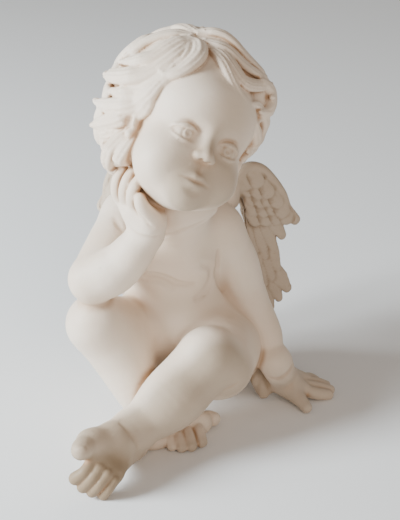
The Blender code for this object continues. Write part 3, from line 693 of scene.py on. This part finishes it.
def wing_shape(clay, wing):
    """Core and blade of a wing, then feathers on both faces, leading edge and root."""
    limb(clay, [wing.at(x, y, -2) for x, y in ((16, 28), (26, 32), (38, 28), (50, 17))],
         [5.5, 6.5, 6, 4.5], 2)
    feather(clay, wing, [(20, 30), (31, 34), (46, 27), (57, 13)], [6, 11, 8.5, 6],
            (MIDDLE, MIDDLE), 2.4, 1.0, 2)
    feather(clay, wing, [(41, 21), (42, -12), (43, -42), (42, -68)], [12, 11.5, 9.5, 8], (-2, -3.2),
            2.2, 0.8, 2)
    for face in (-1, 1):
        def level(depth):
            return 1.5 * face + MIDDLE + face * depth

        # long feathers, the lowest layer first
        for start, end, width, depth in (
                ((36, -57), (33, -96), 5.2, -0.5), ((42, -54), (41, -94), 5.4, -0.2),
                ((36, -36), (38, -70), 4.8, 0.0), ((40, -38), (45, -72), 5.2, 0.7),
                ((43, -37), (52, -66), 5.6, 1.5), ((45, -34), (59, -58.5), 6.6, 2.3),
                ((33, -8), (33, -48), 4.6, 0.2), ((37, -12), (40, -52), 4.8, 1.0),
                ((41, -12), (46, -48), 5.0, 1.8), ((45, -8), (51, -40), 5.0, 2.6),
                ((30, 8), (33, -26), 4.6, 0.8), ((33, 10), (41, -29), 5.0, 1.7),
                ((37, 13), (48.5, -24), 5.6, 2.6), ((41, 15), (55.5, -14), 6.2, 3.5),
                ((45, 17), (67, -3), 7.2, 4.4)):
            widest = [0.4 * a + 0.6 * b for a, b in zip(start, end)]
            feather(clay, wing, [start, widest, end], [width * 0.8, width, width * 0.62],
                    (level(0.4 * depth), level(depth)), 1.1, 0.7, 0.3, 0.3, 0.6)
        # a bed for the coverts, then their rounded rows, each overlapping the one below
        feather(clay, wing, [(26, 31), (36, 19), (43, 7)], [7, 11.5, 11], (level(2.2), level(2.8)),
                1.4, 0.4, 1.5)
        for row, (base, drop, count, first, last) in enumerate(
                ((3, -3, 4, 32.5, 59), (11, -4, 4, 31.5, 55), (19, -4, 4, 30, 50.5),
                 (27, -4, 3, 26.5, 43), (34, -1.5, 2, 25, 34))):
            for k in range(count):
                along = k / (count - 1)
                x = first + (last - first) * along
                y = base + drop * along + 1.2 * math.sin(3.1 * k + row)
                size = 6.1 + 0.5 * math.sin(2.3 * k + 1.7 * row)
                feather(clay, wing, [(x - 2.4, y + 6), (x + 0.8, y)], [size * 0.85, size],
                        (level(3.1 + row * 0.35), level(4.1 + row * 0.3)), 1.2, 0.5, 0.3, 0.2, 0.6)
    # arched leading edge
    limb(clay, [wing.at(x, y, 2.5) for x, y in ((15.5, 19), (17, 31), (21.5, 40), (30, 44.3),
                                                (40, 41.3), (48.5, 32.5), (57, 20), (61, 11))],
         [4.4, 4.4, 4.2, 4.1, 4, 3.8, 3.4, 2.6], 1.2)
    # root on the shoulder blade
    limb(clay, [wing.at(-4, 5, 6), wing.at(8, 20, 0), wing.at(17, 29, -1)], [10.5, 8, 7], 5)


LOW_FEATHERS = (((44, 4, 60), (46.5, 0, 50), (44, -16, 26)),
                ((49, 0, 40), (50, -17, 15), (45.5, -24.5, 5)),
                ((43, 0, 42), (44, -19, 18), (43.5, -25, 5)),
                ((38, 0, 40), (38, -17, 21), (42, -22, 6)))
LOW_RADII = ((7, 6.5, 5), (5.6, 5.4, 2.8), (5.6, 5.4, 2.8), (6, 5.6, 3))


def low_feathers(clay):
    """The left wing's lowest feathers, down between the hip and the hand."""
    for points, radii in zip(LOW_FEATHERS, LOW_RADII):
        limb(clay, points, radii, 0.8)


# From clay to mesh

def surface(clay):
    """Corners and four-sided faces where the distance passes nought."""
    field = clay.field
    inside = field < 0
    size = np.array(field.shape)
    count = np.zeros(size - 1, np.uint8)
    offsets = [(i, j, k) for i in (0, 1) for j in (0, 1) for k in (0, 1)]
    for i, j, k in offsets:
        count += inside[i:size[0] - 1 + i, j:size[1] - 1 + j, k:size[2] - 1 + k]
    cells = np.argwhere((count > 0) & (count < 8))
    number = np.full(size - 1, -1, np.int32)
    number[tuple(cells.T)] = np.arange(len(cells))
    value = {o: field[tuple((cells + np.array(o)).T)] for o in offsets}
    total, hits = np.zeros((len(cells), 3)), np.zeros(len(cells))
    for o in offsets:
        for axis in range(3):
            if o[axis]:
                continue
            other = tuple(1 if n == axis else o[n] for n in range(3))
            a, b = value[o], value[other]
            crossed = (a < 0) != (b < 0)
            spot = np.tile(np.array(o, float), (len(cells), 1))
            spot[:, axis] += np.where(crossed, a / np.where(crossed, a - b, 1), 0)
            total += spot * crossed[:, None]
            hits += crossed
    corners = clay.low + clay.step * (cells + total / hits[:, None])
    faces = []
    for axis in range(3):
        u, v = ((1, 2), (2, 0), (0, 1))[axis]
        a = np.take(inside, range(size[axis] - 1), axis)
        b = np.take(inside, range(1, size[axis]), axis)
        edges = np.argwhere(a != b)
        du, dv = np.eye(3, dtype=int)[u], np.eye(3, dtype=int)[v]
        ring = np.column_stack([number[tuple((edges - shift).T)] for shift in
                                (du + dv, dv, 0 * du, du)])
        turned = ~a[tuple(edges.T)]
        ring[turned] = ring[turned][:, ::-1]
        faces.append(ring)
    return corners, np.vstack(faces)


def carve():
    """The whole figure in clay, flat on the ground and closed at the grid's rim."""
    clay = Clay(LOW, HIGH, GRID)
    torso(clay)
    legs(clay)
    for wing in WINGS:
        wing_shape(clay, wing)
    low_feathers(clay)
    for shape in (arms, right_foot, left_foot, left_hand, face, hair, ears, right_hand, folds):
        shape(clay)
    clay.field = np.maximum(clay.field, -clay.axes[2].reshape(1, 1, -1))
    for rim in (clay.field, clay.field.swapaxes(0, 1), clay.field.swapaxes(0, 2)):
        rim[[0, 1, -2, -1]] = 1
    return clay


def hollow_at(clay, points):
    """How closed in each point of the surface is: nought in the open, one deep in a fold."""
    way = clay.outward(points)
    total = np.zeros(len(points))
    for reach, share in ((1.5, 0.35), (3, 0.35), (6, 0.3)):
        total += share * np.clip(1 - clay.at(points + way * reach) / reach, 0, 1)
    return total


def wing_share(points):
    """One on a wing, nought off it, eased over a few millimetres."""
    best = np.zeros(len(points))
    for wing in WINGS:
        off = points - wing.root
        out, up, front = off @ wing.out, off @ wing.up, off @ wing.front
        inside = eased(out, 10, 16) * eased(np.abs(front), 11, 7)
        best = np.maximum(best, inside * eased(up, -105, -95))
    columns = [points[:, j] for j in range(3)]
    for path, radii in zip(LOW_FEATHERS, LOW_RADII):
        best = np.maximum(best, np.clip(1 - tube(*run(path, radii))[0](columns) / 2, 0, 1))
    return best


def low_shade_share(points):
    """How much painted shade darkens the front foot, the planted hand and the low parts, where less
    light reaches them.
    """
    x, y, z = points.T
    # each mask is painted shade: the foot and toes, the planted hand, and darker towards the bottom
    foot = 0.6 * eased(y - 0.5 * (x + 52), -104, -118)
    toes = eased(y, -134, -150) * eased(z, 38, 20)
    hand = 0.42 * eased(x, 40, 56) * eased(z, 52, 30)
    low = 0.35 * eased(z, 16, 2)
    return np.maximum(np.maximum(foot + toes, hand), low)


def figure_mesh():
    """The clay as a thinned mesh, with the three shares that the resin's colour reads."""
    clay = carve()
    corners, quads = surface(clay)
    mesh = bpy.data.meshes.new("angel_clay")
    mesh.from_pydata(corners * MM, [], quads)
    rough = bpy.data.objects.new("angel_figure_look", mesh)
    bpy.context.scene.collection.objects.link(rough)
    thin = rough.modifiers.new("thin", "DECIMATE")
    thin.ratio = min(1.0, MOST_FACES / (2 * len(quads)))
    depsgraph = bpy.context.evaluated_depsgraph_get()
    depsgraph.update()
    rough.data = bpy.data.meshes.new_from_object(rough.evaluated_get(depsgraph))
    rough.modifiers.clear()
    bpy.data.meshes.remove(mesh)
    places = np.zeros(3 * len(rough.data.vertices))
    rough.data.vertices.foreach_get("co", places)
    places = places.reshape(-1, 3) / MM
    # the first share drives the wash and painted shade in the creases, the third painted shade on
    # the low front parts
    for name, values in (("hollow", hollow_at(clay, places)), ("winged", wing_share(places)),
                         ("low_shade", low_shade_share(places))):
        layer = rough.data.attributes.new(name, "FLOAT", "POINT")
        layer.data.foreach_set("value", values.astype(np.float32))
    rough.data.shade_smooth()
    return rough


# Material

CREAM, PALE_CREAM = (0.74, 0.60, 0.475), (0.79, 0.67, 0.555)
# painted shade: olive tan darkening the front foot, the planted hand and the low parts, where less
# light reaches
LOW_SHADE_OLIVE = (0.27, 0.19, 0.115)
# warm tan for the wash left in the hollows, together with painted shade in the folds and creases
WASH_AND_SHADE_TAN = (0.41, 0.245, 0.135)
# the wings' own tan, deepened by painted shade in the creases between the feathers
WING_TAN_AND_SHADE = (0.32, 0.235, 0.16)


def resin():
    """Cream cast resin with a warm tan wash and painted shade in the hollows, painted shade on the
    low front parts, and the wings' own tan deepened by painted shade between the feathers.
    """
    material = bpy.data.materials.new("cast_resin")
    material.use_nodes = True
    tree = material.node_tree
    shader = tree.nodes["Principled BSDF"]
    shader.inputs["Metallic"].default_value = 0.0
    shader.inputs["IOR"].default_value = 1.48
    shader.inputs["Specular IOR Level"].default_value = 0.35

    def node(kind, **settings):
        made = tree.nodes.new(kind)
        for name, value in settings.items():
            setattr(made, name, value)
        return made

    def noise(scale, detail, rough=0.55):
        made = node("ShaderNodeTexNoise")
        tree.links.new(place.outputs["Object"], made.inputs["Vector"])
        made.inputs["Scale"].default_value = scale
        made.inputs["Detail"].default_value = detail
        made.inputs["Roughness"].default_value = rough
        return made.outputs["Fac"]

    def ramp(source, low, high, bottom=0.0, top=1.0):
        made = node("ShaderNodeMapRange", interpolation_type="SMOOTHSTEP")
        tree.links.new(source, made.inputs["Value"])
        for name, value in (("From Min", low), ("From Max", high), ("To Min", bottom),
                            ("To Max", top)):
            made.inputs[name].default_value = value
        return made.outputs["Result"]

    def maths(kind, a, b):
        made = node("ShaderNodeMath", operation=kind)
        for socket, source in zip(made.inputs, (a, b)):
            if isinstance(source, float):
                socket.default_value = source
            else:
                tree.links.new(source, socket)
        return made.outputs[0]

    def tint(share, under, over):
        made = node("ShaderNodeMix", data_type="RGBA", blend_type="MIX")
        tree.links.new(share, made.inputs[0])
        for socket, colour in ((made.inputs[6], under), (made.inputs[7], over)):
            if isinstance(colour, tuple):
                socket.default_value = (*colour, 1)
            else:
                tree.links.new(colour, socket)
        return made.outputs[2]

    place = node("ShaderNodeTexCoord")
    hollow = node("ShaderNodeAttribute", attribute_name="hollow").outputs["Fac"]
    winged = node("ShaderNodeAttribute", attribute_name="winged").outputs["Fac"]
    low_shade = node("ShaderNodeAttribute", attribute_name="low_shade").outputs["Fac"]

    def clouded(share, noise_out, strength):
        return maths("ADD", share, maths("MULTIPLY", noise_out, strength))

    cloud = noise(22, 4)
    speck = noise(160, 3)
    colour = tint(ramp(cloud, 0.35, 0.7), CREAM, PALE_CREAM)
    # painted shade: olive tan over the front foot, the planted hand and the low parts
    colour = tint(ramp(clouded(low_shade, cloud, 0.4), 0.15, 1.25, 0.0, 0.95), colour, LOW_SHADE_OLIVE)
    # the tan wash in the hollows, together with painted shade that deepens with how closed in a
    # place is
    wash_and_shade = ramp(clouded(hollow, cloud, 0.16), 0.15, 0.78, 0.0, 0.85)
    colour = tint(wash_and_shade, colour, WASH_AND_SHADE_TAN)
    # on the wings: their own tan, deepened by painted shade in the creases between the feathers
    wing_tan_and_shade = maths("MULTIPLY", ramp(clouded(hollow, speck, 0.18), 0.02, 0.50, 0.60, 0.92), winged)
    colour = tint(wing_tan_and_shade, colour, WING_TAN_AND_SHADE)
    tree.links.new(colour, shader.inputs["Base Color"])
    tree.links.new(ramp(cloud, 0.3, 0.7, 0.46, 0.60), shader.inputs["Roughness"])

    def bump(height, strength, distance):
        made = node("ShaderNodeBump")
        made.inputs["Strength"].default_value = strength
        made.inputs["Distance"].default_value = distance
        tree.links.new(height, made.inputs["Height"])
        return made

    fine = bump(noise(900, 4, 0.6), 0.12, 0.0006)
    broad = bump(noise(90, 2), 0.15, 0.002)
    tree.links.new(fine.outputs["Normal"], broad.inputs["Normal"])
    tree.links.new(broad.outputs["Normal"], shader.inputs["Normal"])
    return material


# Stage

def plain(name, colour, rough):
    material = bpy.data.materials.new(name)
    material.use_nodes = True
    shader = material.node_tree.nodes["Principled BSDF"]
    shader.inputs["Base Color"].default_value = (*colour, 1)
    shader.inputs["Roughness"].default_value = rough
    return material


def floor():
    reach = 6.0
    mesh = bpy.data.meshes.new("floor")
    mesh.from_pydata([(-reach, -reach, 0), (reach, -reach, 0), (reach, reach, 0),
                      (-reach, reach, 0)], [], [(0, 1, 2, 3)])
    thing = bpy.data.objects.new("floor", mesh)
    bpy.context.scene.collection.objects.link(thing)
    mesh.materials.append(plain("floor_paper", (0.9, 0.9, 0.9), 0.9))


def lamp(name, place, target, size, power, colour):
    light = bpy.data.lights.new(name, "AREA")
    light.shape = "DISK"
    light.size = size
    light.energy = power
    light.color = colour
    thing = bpy.data.objects.new(name, light)
    thing.location = place
    way = Vector(target) - Vector(place)
    thing.rotation_euler = way.to_track_quat("-Z", "Y").to_euler()
    bpy.context.scene.collection.objects.link(thing)


def studio():
    floor()
    lamp("key", (-1.5, -0.5, 0.78), (0, 0, 0.13), 0.8, 84, (0.86, 0.95, 1.0))
    lamp("fill", (0.7, -1.8, 0.8), (0, 0, 0.12), 1.8, 15, (1.0, 0.87, 0.74))
    world = bpy.data.worlds.new("studio")
    world.use_nodes = True
    back = world.node_tree.nodes["Background"]
    back.inputs["Color"].default_value = (1.0, 0.93, 0.86, 1)
    back.inputs["Strength"].default_value = 0.33
    bpy.context.scene.world = world


def camera():
    """From in front and above, at the photograph's angle."""
    sensor, picture_height, focal_pixels = 36, 520, 1250
    lens = bpy.data.cameras.new("photo_view")
    lens.sensor_width = sensor
    lens.lens = focal_pixels * sensor / picture_height
    lens.clip_start = 0.01
    thing = bpy.data.objects.new("photo_view", lens)
    thing.location = (-0.005, -0.8607, 0.5104)
    thing.rotation_euler = Vector((0, 0.9063, -0.4226)).to_track_quat("-Z", "Y").to_euler()
    bpy.context.scene.collection.objects.link(thing)
    bpy.context.scene.camera = thing


camera()
studio()
angel = figure_mesh()
angel.data.materials.clear()
angel.data.materials.append(resin())
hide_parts("angel_figure")
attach(angel, "root")
